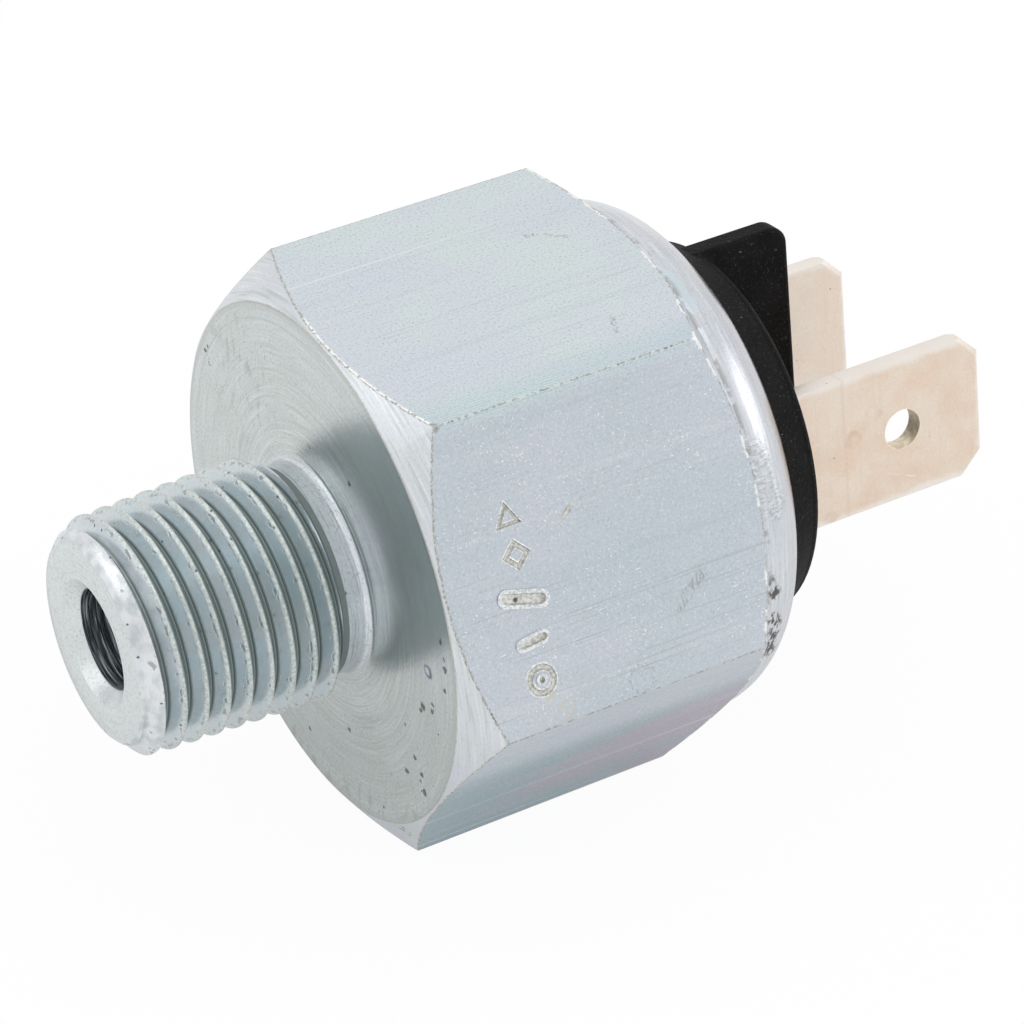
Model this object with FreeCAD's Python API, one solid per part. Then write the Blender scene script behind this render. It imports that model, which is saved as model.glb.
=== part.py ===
import FreeCAD, Part
from FreeCAD import Vector
import math
import os

# Hydraulic brake light switch, in millimetres.
# X runs along the switch's axis: the threaded stub points to -X, the blades to +X, and +Z is up.
# The origin is on the axis, in the front face of the hexagon, which is the shoulder above the thread.
# The switch lies on one of the hexagon's flats.

# Hexagon and its turned ends
HEX_ACROSS_FLATS = 22.2
HEX_LENGTH = 14.3
FACE_RELIEF = 0.15
HEX_CHAMFER_ANGLE = 34.5
BAR_ALLOWANCE = 1.0

# Crimped collar behind the hexagon
COLLAR_RELIEF = 0.05
COLLAR_WALL = 0.9
CRIMP_RADIUS = 2.6
CRIMP_ANGLE = 62.0

# Taper pipe stub, drawn at the thread's crests
STUB_LENGTH = 10.05
STUB_BASE_RADIUS = 5.21
STUB_TAPER = 1.0 / 16.0
TIP_CHAMFER = 0.77
NECK_DEPTH = 0.8
NECK_LENGTH = 1.25
NECK_RUNOUT = 0.5
NECK_FILLET = 0.36

# Fluid port and the pressure pocket behind it
BORE_RADIUS = 2.1
COUNTERSINK_WIDTH = 0.55
COUNTERSINK_DEPTH = 0.5
FRONT_WALL = 3.2
PRESSURE_POCKET_DEPTH = 0.8

# Chamber for the working parts
CHAMBER_STEP = 1.55
CHAMBER_DEPTH = 6.2

# Seal ring in its groove, between the chamber's wall and the pressure pocket
GROOVE_LAND = 1.25
GROOVE_WALL = 0.75
SEAL_WIDTH = 1.6
SEAL_THICKNESS = 1.2
SEAL_CHAMFER = 0.35

# Diaphragm and the guide plate that clamps it
DIAPHRAGM_THICKNESS = 0.5
GUIDE_RIM_THICKNESS = 2.9
GUIDE_BOSS_WALL = 1.55
GUIDE_BOSS_HEIGHT = 1.0
GUIDE_EDGE_CHAMFER = 0.3

# Plunger
PLUNGER_HEAD_RADIUS = 4.6
PLUNGER_HEAD_THICKNESS = 1.5
PLUNGER_HEAD_CHAMFER = 0.4
PLUNGER_SHOULDER = 4.7
SHOULDER_WIDTH = 0.55
SPIGOT_LENGTH = 1.4
SPIGOT_CHAMFER = 0.1

# Moving contact disc, its push-on retainer and the return spring
DISC_OVERLAP = 0.2
DISC_THICKNESS = 0.6
DISC_EDGE_CHAMFER = 0.2
RETAINER_WIDTH = 0.75
RETAINER_THICKNESS = 0.3
SPRING_WIRE = 0.5
SPRING_WIRE_SIDES = 8
SPRING_TURNS = 4
SPRING_POCKET_DEPTH = 2.2
CONTACT_TRAVEL = 0.6

# Fixed contact rivets, set in from the blade's outer face
RIVET_INSET = 1.25
RIVET_HEAD_RADIUS = 0.7
RIVET_MARGIN = 0.05
RIVET_HEAD_HEIGHT = 0.85
RIVET_DOME_HEIGHT = 0.25
RIVET_SHANK_RADIUS = 0.45

# Terminal blades, tinned strip with a foot bent inwards
BLADE_WIDTH = 6.3
BLADE_THICKNESS = 0.8
BLADE_SPACING = 9.9
BLADE_LENGTH = 9.95
BLADE_CORNER = 0.85
BLADE_BEVEL = 0.2
BLADE_HOLE_RADIUS = 0.88
BLADE_HOLE_FROM_END = 4.0
BEND_RADIUS = 0.3

# Moulded terminal base: flange under the crimp, skirt into the chamber, nose and fin behind
BASE_TURN = -13.6
SKIRT_WALL = 1.6
NOSE_LENGTH = 4.55
NOSE_DRAFT = 1.07
NOSE_ROUND = 0.4
FIN_THICKNESS = 1.2
FIN_HEIGHT = 3.92
FIN_OVERHANG = 0.1
FIN_CORNER = 0.8
FIN_EDGE_ROUND = 0.25
FIN_ROOT_DEPTH = 1.2
FIN_ROOT_FILLET = 0.35

# Gasket ring between the flange and the chamber's step
GASKET_THICKNESS = 0.8

# Clearances
RUNNING_CLEARANCE = 0.05
HEAD_CLEARANCE = 0.15
SEAT_CLEARANCE = 0.05
SLOT_CLEARANCE = 0.03
RIVET_CLEARANCE = 0.01
STROKE_RESERVE = 0.05
RETAINER_CLEARANCE = 0.15
POCKET_CLEARANCE = 0.2
FOOT_CLEARANCE = 0.15
SPRING_END_CLEARANCE = 0.02

ORIGIN = Vector(0, 0, 0)
AXIS = Vector(1, 0, 0)
ACROSS = Vector(0, 1, 0)
NEAR = 1e-6

# Places along the axis, from the thread's tip to the blades' ends
tip_x = -STUB_LENGTH
floor_x = FRONT_WALL
guide_x = floor_x + DIAPHRAGM_THICKNESS
skirt_x = guide_x + GUIDE_RIM_THICKNESS
step_x = floor_x + CHAMBER_DEPTH
flange_x = step_x + GASKET_THICKNESS
disc_x = guide_x + PLUNGER_SHOULDER
disc_back_x = disc_x + DISC_THICKNESS
rivet_x = disc_back_x + CONTACT_TRAVEL + STROKE_RESERVE
foot_x = rivet_x + RIVET_HEAD_HEIGHT
ceiling_x = foot_x + BLADE_THICKNESS
spring_seat_x = ceiling_x + SPRING_POCKET_DEPTH
nose_x = HEX_LENGTH + NOSE_LENGTH
fin_end_x = nose_x + FIN_HEIGHT
blade_end_x = nose_x + BLADE_LENGTH

# Radii of the body
apothem = HEX_ACROSS_FLATS / 2
corner_radius = apothem / math.cos(math.radians(30))
face_radius = apothem - FACE_RELIEF
collar_radius = apothem - COLLAR_RELIEF
collar_bore = collar_radius - COLLAR_WALL
chamber_radius = collar_bore - CHAMBER_STEP
groove_outer = chamber_radius - GROOVE_LAND
groove_inner = groove_outer - SEAL_WIDTH - 2 * SEAT_CLEARANCE
pressure_pocket_radius = groove_inner - GROOVE_WALL

# Distances of a blade's faces, its rivet and its foot from the axis
blade_outer = BLADE_SPACING / 2 + BLADE_THICKNESS / 2
blade_inner = BLADE_SPACING / 2 - BLADE_THICKNESS / 2
rivet_offset = blade_outer - RIVET_INSET
foot_end = rivet_offset - RIVET_HEAD_RADIUS - RIVET_MARGIN

# Radii of the pieces, each from what it fits into
insert_radius = chamber_radius - SEAT_CLEARANCE
contact_room = insert_radius - SKIRT_WALL
disc_radius = rivet_offset + RIVET_HEAD_RADIUS + DISC_OVERLAP
spring_pocket_radius = foot_end - FOOT_CLEARANCE
spring_radius = spring_pocket_radius - POCKET_CLEARANCE - SPRING_WIRE / 2
retainer_radius = spring_radius - SPRING_WIRE / 2 - RETAINER_CLEARANCE
disc_bore = retainer_radius - RETAINER_WIDTH
spigot_radius = disc_bore - RIVET_CLEARANCE
stem_radius = disc_bore + SHOULDER_WIDTH
stem_bore = stem_radius + RUNNING_CLEARANCE
head_bore = PLUNGER_HEAD_RADIUS + HEAD_CLEARANCE

# Crimp's centre of curvature in the half section, and where the base's shoulder leaves it
crimp_centre = (HEX_LENGTH, collar_radius - CRIMP_RADIUS)
shoulder_radius = CRIMP_RADIUS - COLLAR_WALL - SEAT_CLEARANCE
mouth_radius = crimp_centre[1] + shoulder_radius * math.cos(math.radians(CRIMP_ANGLE))
nose_radius = mouth_radius - NOSE_DRAFT
fin_reach = nose_radius + FIN_OVERHANG


def outline(start, *steps):
    """Close a path in the XY plane: a step is an end point, or a middle point and an end point of an arc."""
    edges = []
    first = Vector(start[0], start[1], 0)
    here = first
    for step in steps:
        if isinstance(step[0], tuple):
            middle = Vector(step[0][0], step[0][1], 0)
            there = Vector(step[1][0], step[1][1], 0)
            edges.append(Part.Arc(here, middle, there).toShape())
        else:
            there = Vector(step[0], step[1], 0)
            edges.append(Part.LineSegment(here, there).toShape())
        here = there
    if here.distanceToPoint(first) > NEAR:
        edges.append(Part.LineSegment(here, first).toShape())
    return Part.Face(Part.Wire(edges))


def on_arc(centre, radius, angle):
    """Point of an outline on an arc, its angle in degrees from the outward radial direction to +X."""
    turn = math.radians(angle)
    return (centre[0] + radius * math.sin(turn), centre[1] + radius * math.cos(turn))


def chord_points(centre, radius, from_angle, to_angle):
    """Middle and end of an arc, for an outline that follows it in two straight steps."""
    return (on_arc(centre, radius, (from_angle + to_angle) / 2), on_arc(centre, radius, to_angle))


def arc_step(centre, radius, from_angle, to_angle):
    """Arc step of an outline: its middle point and its end point."""
    return (on_arc(centre, radius, (from_angle + to_angle) / 2), on_arc(centre, radius, to_angle))


def turned(start, *steps):
    """Turn a half section, given as places along the axis and radii, into a solid."""
    return outline(start, *steps).revolve(ORIGIN, AXIS, 360)


def ring(front, back, inner, outer):
    """A plain ring on the axis."""
    return turned((front, inner), (back, inner), (back, outer), (front, outer))


def round_bar(front, back, radius):
    """A plain cylinder on the axis."""
    return Part.makeCylinder(radius, back - front, Vector(front, 0, 0), AXIS)


def aligned(shape):
    """Turn a piece of the terminal base about the axis, to where the crimp caught it."""
    return shape.rotated(ORIGIN, AXIS, BASE_TURN)


def other_side(shape):
    """Mirror image on the other side of the fin."""
    return shape.mirror(ORIGIN, ACROSS)


def hexagon_bar():
    """Hexagon bar with two flats level, longer than the body at both ends."""
    front = -BAR_ALLOWANCE
    length = HEX_LENGTH + CRIMP_RADIUS + 2 * BAR_ALLOWANCE
    corners = []
    for k in range(7):
        turn = math.radians(60 * k)
        corners.append(Vector(front, corner_radius * math.cos(turn), corner_radius * math.sin(turn)))
    return Part.Face(Part.makePolygon(corners)).extrude(AXIS * length)


def hex_blank():
    """Hexagon with both ends turned: the front chamfer, the rear chamfer and the crimped collar."""
    slope = math.tan(math.radians(HEX_CHAMFER_ANGLE))
    stock = corner_radius + BAR_ALLOWANCE
    envelope = turned(
        (0, 0),
        (0, face_radius),
        ((stock - face_radius) * slope, stock),
        (HEX_LENGTH - (stock - collar_radius) * slope, stock),
        (HEX_LENGTH, collar_radius),
        arc_step(crimp_centre, CRIMP_RADIUS, 0, CRIMP_ANGLE),
        on_arc(crimp_centre, CRIMP_RADIUS - COLLAR_WALL, CRIMP_ANGLE),
        (HEX_LENGTH, 0),
    )
    return hexagon_bar().common(envelope)


def stub_radius(x):
    """Radius over the thread's crests at a place along the axis."""
    return STUB_BASE_RADIUS + x * STUB_TAPER / 2


def taper_stub():
    """Threaded stub with its tip chamfer, relief neck and the fillet into the shoulder."""
    neck_radius = STUB_BASE_RADIUS - NECK_DEPTH
    fillet_centre = (-NECK_FILLET, neck_radius + NECK_FILLET)
    chamfer_x = tip_x + TIP_CHAMFER
    runout_x = -NECK_LENGTH - NECK_RUNOUT
    return turned(
        (tip_x, 0),
        (tip_x, stub_radius(tip_x) - TIP_CHAMFER),
        (chamfer_x, stub_radius(chamfer_x)),
        (runout_x, stub_radius(runout_x)),
        (-NECK_LENGTH, neck_radius),
        (-NECK_FILLET, neck_radius),
        arc_step(fillet_centre, NECK_FILLET, 180, 90),
        (BAR_ALLOWANCE, fillet_centre[1]),
        (BAR_ALLOWANCE, 0),
    )


def fluid_port():
    """Bore along the stub with its countersunk mouth."""
    mouth = BORE_RADIUS + COUNTERSINK_WIDTH
    return turned(
        (tip_x, 0),
        (tip_x, mouth),
        (tip_x + COUNTERSINK_DEPTH, BORE_RADIUS),
        (floor_x, BORE_RADIUS),
        (floor_x, 0),
    )


def collar_hollow():
    """Room for the base's flange, closed over by the crimp."""
    return turned(
        (step_x, 0),
        (step_x, collar_bore),
        (HEX_LENGTH, collar_bore),
        *chord_points(crimp_centre, CRIMP_RADIUS - COLLAR_WALL, 0, CRIMP_ANGLE),
        (HEX_LENGTH + CRIMP_RADIUS, 0),
    )


def hex_body():
    """Steel body, turned from hexagon bar in one piece with its stub."""
    body = hex_blank().fuse(taper_stub())
    body = body.cut(fluid_port())
    body = body.cut(round_bar(floor_x - PRESSURE_POCKET_DEPTH, floor_x, pressure_pocket_radius))
    body = body.cut(ring(floor_x - SEAL_THICKNESS, floor_x, groove_inner, groove_outer))
    body = body.cut(round_bar(floor_x, step_x, chamber_radius))
    body = body.cut(collar_hollow())
    return body.removeSplitter()


def seal_ring():
    """Rubber ring in the floor's groove, pressed flat by the diaphragm."""
    front = floor_x - SEAL_THICKNESS
    inner = groove_inner + SEAT_CLEARANCE
    outer = groove_outer - SEAT_CLEARANCE
    return turned(
        (front, inner + SEAL_CHAMFER),
        (front, outer - SEAL_CHAMFER),
        (front + SEAL_CHAMFER, outer),
        (floor_x - SEAL_CHAMFER, outer),
        (floor_x, outer - SEAL_CHAMFER),
        (floor_x, inner + SEAL_CHAMFER),
        (floor_x - SEAL_CHAMFER, inner),
        (front + SEAL_CHAMFER, inner),
    )


def diaphragm():
    """Thin disc that closes the pressure side, clamped at its edge."""
    return round_bar(floor_x, guide_x, insert_radius)


def guide_plate():
    """Steel plate that clamps the diaphragm and guides the plunger's stem."""
    head_room_x = guide_x + PLUNGER_HEAD_THICKNESS + CONTACT_TRAVEL + STROKE_RESERVE
    boss_x = skirt_x + GUIDE_BOSS_HEIGHT
    boss_radius = stem_bore + GUIDE_BOSS_WALL
    return turned(
        (guide_x, head_bore),
        (head_room_x, head_bore),
        (head_room_x, stem_bore),
        (boss_x, stem_bore),
        (boss_x, boss_radius - GUIDE_EDGE_CHAMFER),
        (boss_x - GUIDE_EDGE_CHAMFER, boss_radius),
        (skirt_x, boss_radius),
        (skirt_x, insert_radius - GUIDE_EDGE_CHAMFER),
        (skirt_x - GUIDE_EDGE_CHAMFER, insert_radius),
        (guide_x, insert_radius),
    )


def plunger():
    """Moulded plunger: a broad head on the diaphragm, a stem in the guide, a spigot for the disc."""
    head_back_x = guide_x + PLUNGER_HEAD_THICKNESS
    spigot_end_x = disc_x + SPIGOT_LENGTH
    return turned(
        (guide_x, 0),
        (guide_x, PLUNGER_HEAD_RADIUS - PLUNGER_HEAD_CHAMFER),
        (guide_x + PLUNGER_HEAD_CHAMFER, PLUNGER_HEAD_RADIUS),
        (head_back_x, PLUNGER_HEAD_RADIUS),
        (head_back_x, stem_radius),
        (disc_x, stem_radius),
        (disc_x, spigot_radius),
        (spigot_end_x - SPIGOT_CHAMFER, spigot_radius),
        (spigot_end_x, spigot_radius - SPIGOT_CHAMFER),
        (spigot_end_x, 0),
    )


def contact_disc():
    """Moving contact: a plain disc with its edges broken, which bridges the two rivets."""
    rim = disc_radius - DISC_EDGE_CHAMFER
    return turned(
        (disc_x, disc_bore),
        (disc_x, rim),
        (disc_x + DISC_EDGE_CHAMFER, disc_radius),
        (disc_back_x - DISC_EDGE_CHAMFER, disc_radius),
        (disc_back_x, rim),
        (disc_back_x, disc_bore),
    )


def disc_retainer():
    """Push-on washer that holds the disc on the spigot."""
    return ring(disc_back_x, disc_back_x + RETAINER_THICKNESS, disc_bore, retainer_radius)


def return_spring():
    """Compression spring from the disc to the pocket in the base, its wire drawn with flat sides."""
    wire_radius = SPRING_WIRE / 2
    start_x = disc_back_x + wire_radius + SPRING_END_CLEARANCE
    height = spring_seat_x - wire_radius - SPRING_END_CLEARANCE - start_x
    helix = Part.makeHelix(height / SPRING_TURNS, height, spring_radius)
    corners = []
    for k in range(SPRING_WIRE_SIDES + 1):
        turn = 2 * math.pi * k / SPRING_WIRE_SIDES
        corners.append(Vector(spring_radius + wire_radius * math.cos(turn), 0, wire_radius * math.sin(turn)))
    coil = Part.Wire(helix).makePipeShell([Part.makePolygon(corners)], True, True)
    coil.rotate(ORIGIN, ACROSS, 90)
    coil.translate(Vector(start_x, 0, 0))
    return coil


def base_blank():
    """Base before its fin, slots and pocket: skirt, flange, shoulder under the crimp and nose."""
    flange_radius = collar_bore - SEAT_CLEARANCE
    round_x = nose_x - NOSE_ROUND
    return turned(
        (skirt_x, contact_room),
        (skirt_x, insert_radius),
        (flange_x, insert_radius),
        (flange_x, flange_radius),
        (HEX_LENGTH, flange_radius),
        *chord_points(crimp_centre, shoulder_radius, 0, CRIMP_ANGLE),
        (round_x, nose_radius),
        arc_step((round_x, nose_radius - NOSE_ROUND), NOSE_ROUND, 0, 90),
        (nose_x, 0),
        (ceiling_x, 0),
        (ceiling_x, contact_room),
    )


def fin():
    """Insulating fin across the nose, between the two blades."""
    root_x = nose_x - FIN_ROOT_DEPTH
    corner_x = fin_end_x - FIN_CORNER
    corner_y = fin_reach - FIN_CORNER
    side_view = outline(
        (root_x, -fin_reach),
        (corner_x, -fin_reach),
        arc_step((corner_x, -corner_y), FIN_CORNER, 180, 90),
        (fin_end_x, corner_y),
        arc_step((corner_x, corner_y), FIN_CORNER, 90, 0),
        (root_x, fin_reach),
    )
    plate = side_view.extrude(Vector(0, 0, FIN_THICKNESS))
    plate.translate(Vector(0, 0, -FIN_THICKNESS / 2))
    rims = [edge for edge in plate.Edges
            if edge.BoundBox.ZLength < NEAR and edge.BoundBox.XMax > root_x + NEAR]
    return plate.makeFillet(FIN_EDGE_ROUND, rims).rotated(ORIGIN, AXIS, 90)


def blade_slot():
    """Room for one blade and its bend, on the +Y side."""
    width = BLADE_WIDTH + 2 * SLOT_CLEARANCE
    inner = blade_inner - SLOT_CLEARANCE
    outer = blade_outer + SLOT_CLEARANCE
    relief = BEND_RADIUS + SLOT_CLEARANCE
    side_view = outline(
        (foot_x, inner - relief),
        (foot_x, outer),
        (nose_x, outer),
        (nose_x, inner),
        (ceiling_x + relief, inner),
        (ceiling_x + relief, inner - relief),
    )
    slot = side_view.extrude(Vector(0, 0, width))
    slot.translate(Vector(0, 0, -width / 2))
    return slot


def terminal_base():
    """Moulded base with its flange, skirt, fin, blade slots and spring pocket."""
    base = base_blank().fuse(fin()).removeSplitter()
    root = [edge for edge in base.Edges
            if abs(edge.CenterOfMass.x - nose_x) < NEAR
            and abs(abs(edge.CenterOfMass.y) - FIN_THICKNESS / 2) < NEAR
            and edge.Length > nose_radius]
    base = base.makeFillet(FIN_ROOT_FILLET, root)
    base = base.cut(round_bar(ceiling_x, spring_seat_x, spring_pocket_radius))
    slot = blade_slot()
    return aligned(base.cut(slot).cut(other_side(slot)))


def terminal_rear():
    """Blade on the +Y side: strip with its foot bent inwards, detent hole, cut corners and bevelled tip."""
    outer_bend = BEND_RADIUS + BLADE_THICKNESS
    inner_bend_y = blade_inner - BEND_RADIUS
    side_view = outline(
        (foot_x, foot_end),
        (foot_x, blade_outer - outer_bend),
        arc_step((foot_x + outer_bend, blade_outer - outer_bend), outer_bend, -90, 0),
        (blade_end_x, blade_outer),
        (blade_end_x, blade_inner),
        (ceiling_x + BEND_RADIUS, blade_inner),
        arc_step((ceiling_x + BEND_RADIUS, inner_bend_y), BEND_RADIUS, 0, -90),
        (ceiling_x, foot_end),
    )
    strip = side_view.extrude(Vector(0, 0, BLADE_WIDTH))
    strip.translate(Vector(0, 0, -BLADE_WIDTH / 2))
    corners = [edge for edge in strip.Edges
               if abs(edge.CenterOfMass.x - blade_end_x) < NEAR and edge.BoundBox.ZLength < NEAR]
    strip = strip.makeChamfer(BLADE_CORNER, corners)
    tip = [edge for edge in strip.Edges
           if edge.BoundBox.XMin > blade_end_x - BLADE_CORNER - NEAR and edge.BoundBox.YLength < NEAR]
    strip = strip.makeChamfer(BLADE_BEVEL, tip)
    hole_start = Vector(blade_end_x - BLADE_HOLE_FROM_END, 0, 0)
    strip = strip.cut(Part.makeCylinder(BLADE_HOLE_RADIUS, BLADE_SPACING, hole_start, ACROSS))
    rivet_hole = round_bar(foot_x, ceiling_x, RIVET_SHANK_RADIUS + RIVET_CLEARANCE)
    rivet_hole.translate(ACROSS * rivet_offset)
    return aligned(strip.cut(rivet_hole))


def contact_rear():
    """Silver rivet in the rear blade's foot, with a domed head towards the disc."""
    dome_radius = (RIVET_HEAD_RADIUS ** 2 + RIVET_DOME_HEIGHT ** 2) / (2 * RIVET_DOME_HEIGHT)
    half_turn = math.degrees(math.asin(RIVET_HEAD_RADIUS / dome_radius))
    rivet = turned(
        (rivet_x, 0),
        arc_step((rivet_x + dome_radius, 0), dome_radius, -90, half_turn - 90),
        (foot_x, RIVET_HEAD_RADIUS),
        (foot_x, RIVET_SHANK_RADIUS),
        (ceiling_x, RIVET_SHANK_RADIUS),
        (ceiling_x, 0),
    )
    rivet.translate(ACROSS * rivet_offset)
    return aligned(rivet)


def opposite(shape):
    """The same piece half a turn round the axis, on the front side of the fin."""
    return shape.rotated(ORIGIN, AXIS, 180)


def base_gasket():
    """Ring that seals the base against the chamber's step."""
    return ring(step_x, flange_x, chamber_radius, collar_bore - SEAT_CLEARANCE)


PIECES = {
    "hex_body": hex_body(),
    "seal_ring": seal_ring(),
    "diaphragm": diaphragm(),
    "guide_plate": guide_plate(),
    "plunger": plunger(),
    "contact_disc": contact_disc(),
    "disc_retainer": disc_retainer(),
    "return_spring": return_spring(),
    "terminal_base": terminal_base(),
    "base_gasket": base_gasket(),
    "terminal_front": opposite(terminal_rear()),
    "terminal_rear": terminal_rear(),
    "contact_front": opposite(contact_rear()),
    "contact_rear": contact_rear(),
}

os.makedirs("parts", exist_ok=True)
for name, shape in PIECES.items():
    shape.exportStep(f"parts/{name}.step")
    print(name, len(shape.Solids), "solid,", round(shape.Volume, 2), "cubic mm")
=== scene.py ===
import math

import bpy
from mathutils import Matrix, Vector


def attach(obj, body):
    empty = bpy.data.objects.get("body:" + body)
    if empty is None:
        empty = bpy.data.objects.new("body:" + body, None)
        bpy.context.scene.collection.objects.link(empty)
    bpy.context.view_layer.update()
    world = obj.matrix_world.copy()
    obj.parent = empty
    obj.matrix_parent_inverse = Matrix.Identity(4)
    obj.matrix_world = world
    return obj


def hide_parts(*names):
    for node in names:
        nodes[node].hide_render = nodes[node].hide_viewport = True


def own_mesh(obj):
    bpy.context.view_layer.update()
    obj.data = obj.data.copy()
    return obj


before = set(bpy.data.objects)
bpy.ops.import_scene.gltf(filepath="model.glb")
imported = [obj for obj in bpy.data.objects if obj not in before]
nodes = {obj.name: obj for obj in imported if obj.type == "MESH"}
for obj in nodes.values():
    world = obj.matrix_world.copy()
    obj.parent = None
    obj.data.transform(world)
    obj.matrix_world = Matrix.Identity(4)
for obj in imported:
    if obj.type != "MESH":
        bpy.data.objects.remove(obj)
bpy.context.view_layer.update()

# Steel body: bar of hexagon section, turned in one piece with its taper pipe stub and bored through,
# then zinc plated and passivated. Its collar is crimped over the moulded base behind, and small marks
# are stamped in one flat.
MM = 0.001
APOTHEM = 11.1
BODY_LENGTH = 14.3
FACE_RADIUS = 10.95
COLLAR_RADIUS = 11.05
CHAMFER_SLOPE = 0.6873
CORNER_ROUND = 0.16
FACE_EDGE_ROUND = 0.07
EDGE_ROUND = 0.09
REAR_EDGE_ROUND = 0.05
CRIMP_CENTRE = 8.45
CRIMP_RADIUS = 2.6
CRIMP_WALL = 0.9
CRIMP_ANGLE = 62
TIP = -10.05
TIP_FACE_RADIUS = 4.126
TIP_FACE_MIDDLE = 3.4
TIP_ROUND = 0.045
BORE_RADIUS = 2.1
COUNTERSINK_RADIUS = 2.65
COUNTERSINK_DEPTH = 0.5
NECK_START = -1.25
NECK_RADIUS = 4.41
NECK_RUNOUT = 0.5
RUNOUT_DROP = 0.78
NECK_FILLET = 0.36
PITCH = 0.9407
CREST_RADIUS = 5.21
TAPER = 1 / 32
THREAD_DEPTH = 0.7
FLANK_SLOPE = 1.732
CREST_WIDTH = 0.09
CREST_ROUND = 0.045
ROOT_ROUND = 0.05
CREASE_ROUND = 0.022
THREAD_START = -8.04
ROWS_A_TURN = 18
FLAT_STEPS = 27
POCKET_RADIUS = 4.9
POCKET_FLOOR = 2.4
GROOVE_INNER = 5.65
GROOVE_OUTER = 7.35
GROOVE_FLOOR = 2.0
CHAMBER_RADIUS = 8.6
CHAMBER_FLOOR = 3.2
BASE_RADIUS = 10.15
BASE_SEAT = 9.4


def wrapped(name, turns, sections, last_rows):
    """Wrap a grid round the axis: a section of (x, radius) places for each turn angle, closed both ways."""
    bpy.ops.object.select_all(action="DESELECT")
    columns, rows = len(sections), len(sections[0])
    bpy.ops.mesh.primitive_grid_add(x_subdivisions=columns - 1, y_subdivisions=rows - 1, size=1)
    piece = bpy.context.object
    piece.name = piece.data.name = name
    places = []
    for row in range(rows):
        for turn, section in zip(turns, sections):
            x, radius = section[row]
            places += [x * MM, radius * math.cos(turn) * MM, radius * math.sin(turn) * MM]
    piece.data.vertices.foreach_set("co", places)
    quads_a_row = columns - 1
    for face in piece.data.polygons:
        row = face.index // quads_a_row
        face.material_index = next(finish for last, finish in last_rows if row < last)
    bpy.ops.object.mode_set(mode="EDIT")
    bpy.ops.mesh.select_all(action="SELECT")
    bpy.ops.mesh.remove_doubles(threshold=0.0005 * MM)
    bpy.ops.mesh.dissolve_degenerate(threshold=0.0005 * MM)
    bpy.ops.mesh.normals_make_consistent(inside=False)
    bpy.ops.object.mode_set(mode="OBJECT")
    return piece


def filleted(corners, steps=3):
    """Round the corners (x, radius, round) of a section; a round of 0 keeps the corner sharp."""
    path = []
    for k, (x, radius, fillet) in enumerate(corners):
        here = Vector((x, radius))
        if not fillet:
            path.append((x, radius))
            continue
        back = (Vector(corners[k - 1][:2]) - here).normalized()
        ahead = (Vector(corners[k + 1][:2]) - here).normalized()
        half = back.angle(ahead) / 2
        centre = here + (back + ahead).normalized() * fillet / math.sin(half)
        first = (here + back * fillet / math.tan(half) - centre).normalized()
        last = (here + ahead * fillet / math.tan(half) - centre).normalized()
        for step in range(steps + 1):
            path.append(tuple(centre + first.slerp(last, step / steps) * fillet))
    return path


def arc(x, radius, bend, first, last, steps):
    """Places along an arc, its angles in degrees from the outward direction to +X."""
    angles = [math.radians(first + (last - first) * step / steps) for step in range(steps + 1)]
    return [(x + bend * math.sin(a), radius + bend * math.cos(a)) for a in angles]


def hexagon_radius(turn):
    """Distance from the axis to the hexagon's skin, with its corners a little rounded."""
    off = abs((turn + math.pi / 6) % (math.pi / 3) - math.pi / 6)
    core = (APOTHEM - CORNER_ROUND) / math.cos(math.pi / 6)
    if off < corner_turn:
        return core * math.cos(off) + math.sqrt(CORNER_ROUND ** 2 - (core * math.sin(off)) ** 2)
    return APOTHEM / math.cos(math.pi / 6 - off)


def melted(a, b, melt=CREASE_ROUND):
    """The lower of two radii, with the crease between them rounded."""
    mix = max(0.0, min(1.0, 0.5 + (b - a) / (2 * melt)))
    return b + (a - b) * mix - melt * mix * (1 - mix)


def thread_radius(x, turn):
    """Radius over the taper thread, its tip chamfer and the ramp down to the neck."""
    phase = (x - THREAD_START) / PITCH - turn / (2 * math.pi)
    off = abs(phase - round(phase)) * PITCH
    crest = CREST_RADIUS + x * TAPER
    flank = crest + (CREST_WIDTH / 2 - off) * FLANK_SLOPE
    cut = -melted(-flank, THREAD_DEPTH - crest, ROOT_ROUND)
    chamfer = TIP_FACE_RADIUS + x - TIP
    ramp = NECK_RADIUS + (NECK_START - x) * RUNOUT_DROP / NECK_RUNOUT
    return melted(melted(melted(cut, crest, CREST_ROUND), chamfer), ramp)


corner_turn = math.atan2(CORNER_ROUND / 2, (APOTHEM - CORNER_ROUND / 4) / math.cos(math.pi / 6))
corner_steps = [corner_turn * step / 3 for step in range(-3, 4)]
flat_turn = (math.pi / 3 - 2 * corner_turn) / FLAT_STEPS
turns = []
for sector in range(6):
    corner = sector * math.pi / 3
    turns += [corner + step for step in corner_steps]
    turns += [corner + corner_turn + flat_turn * step for step in range(1, FLAT_STEPS)]
turns.append(turns[0] + 2 * math.pi)

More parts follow.
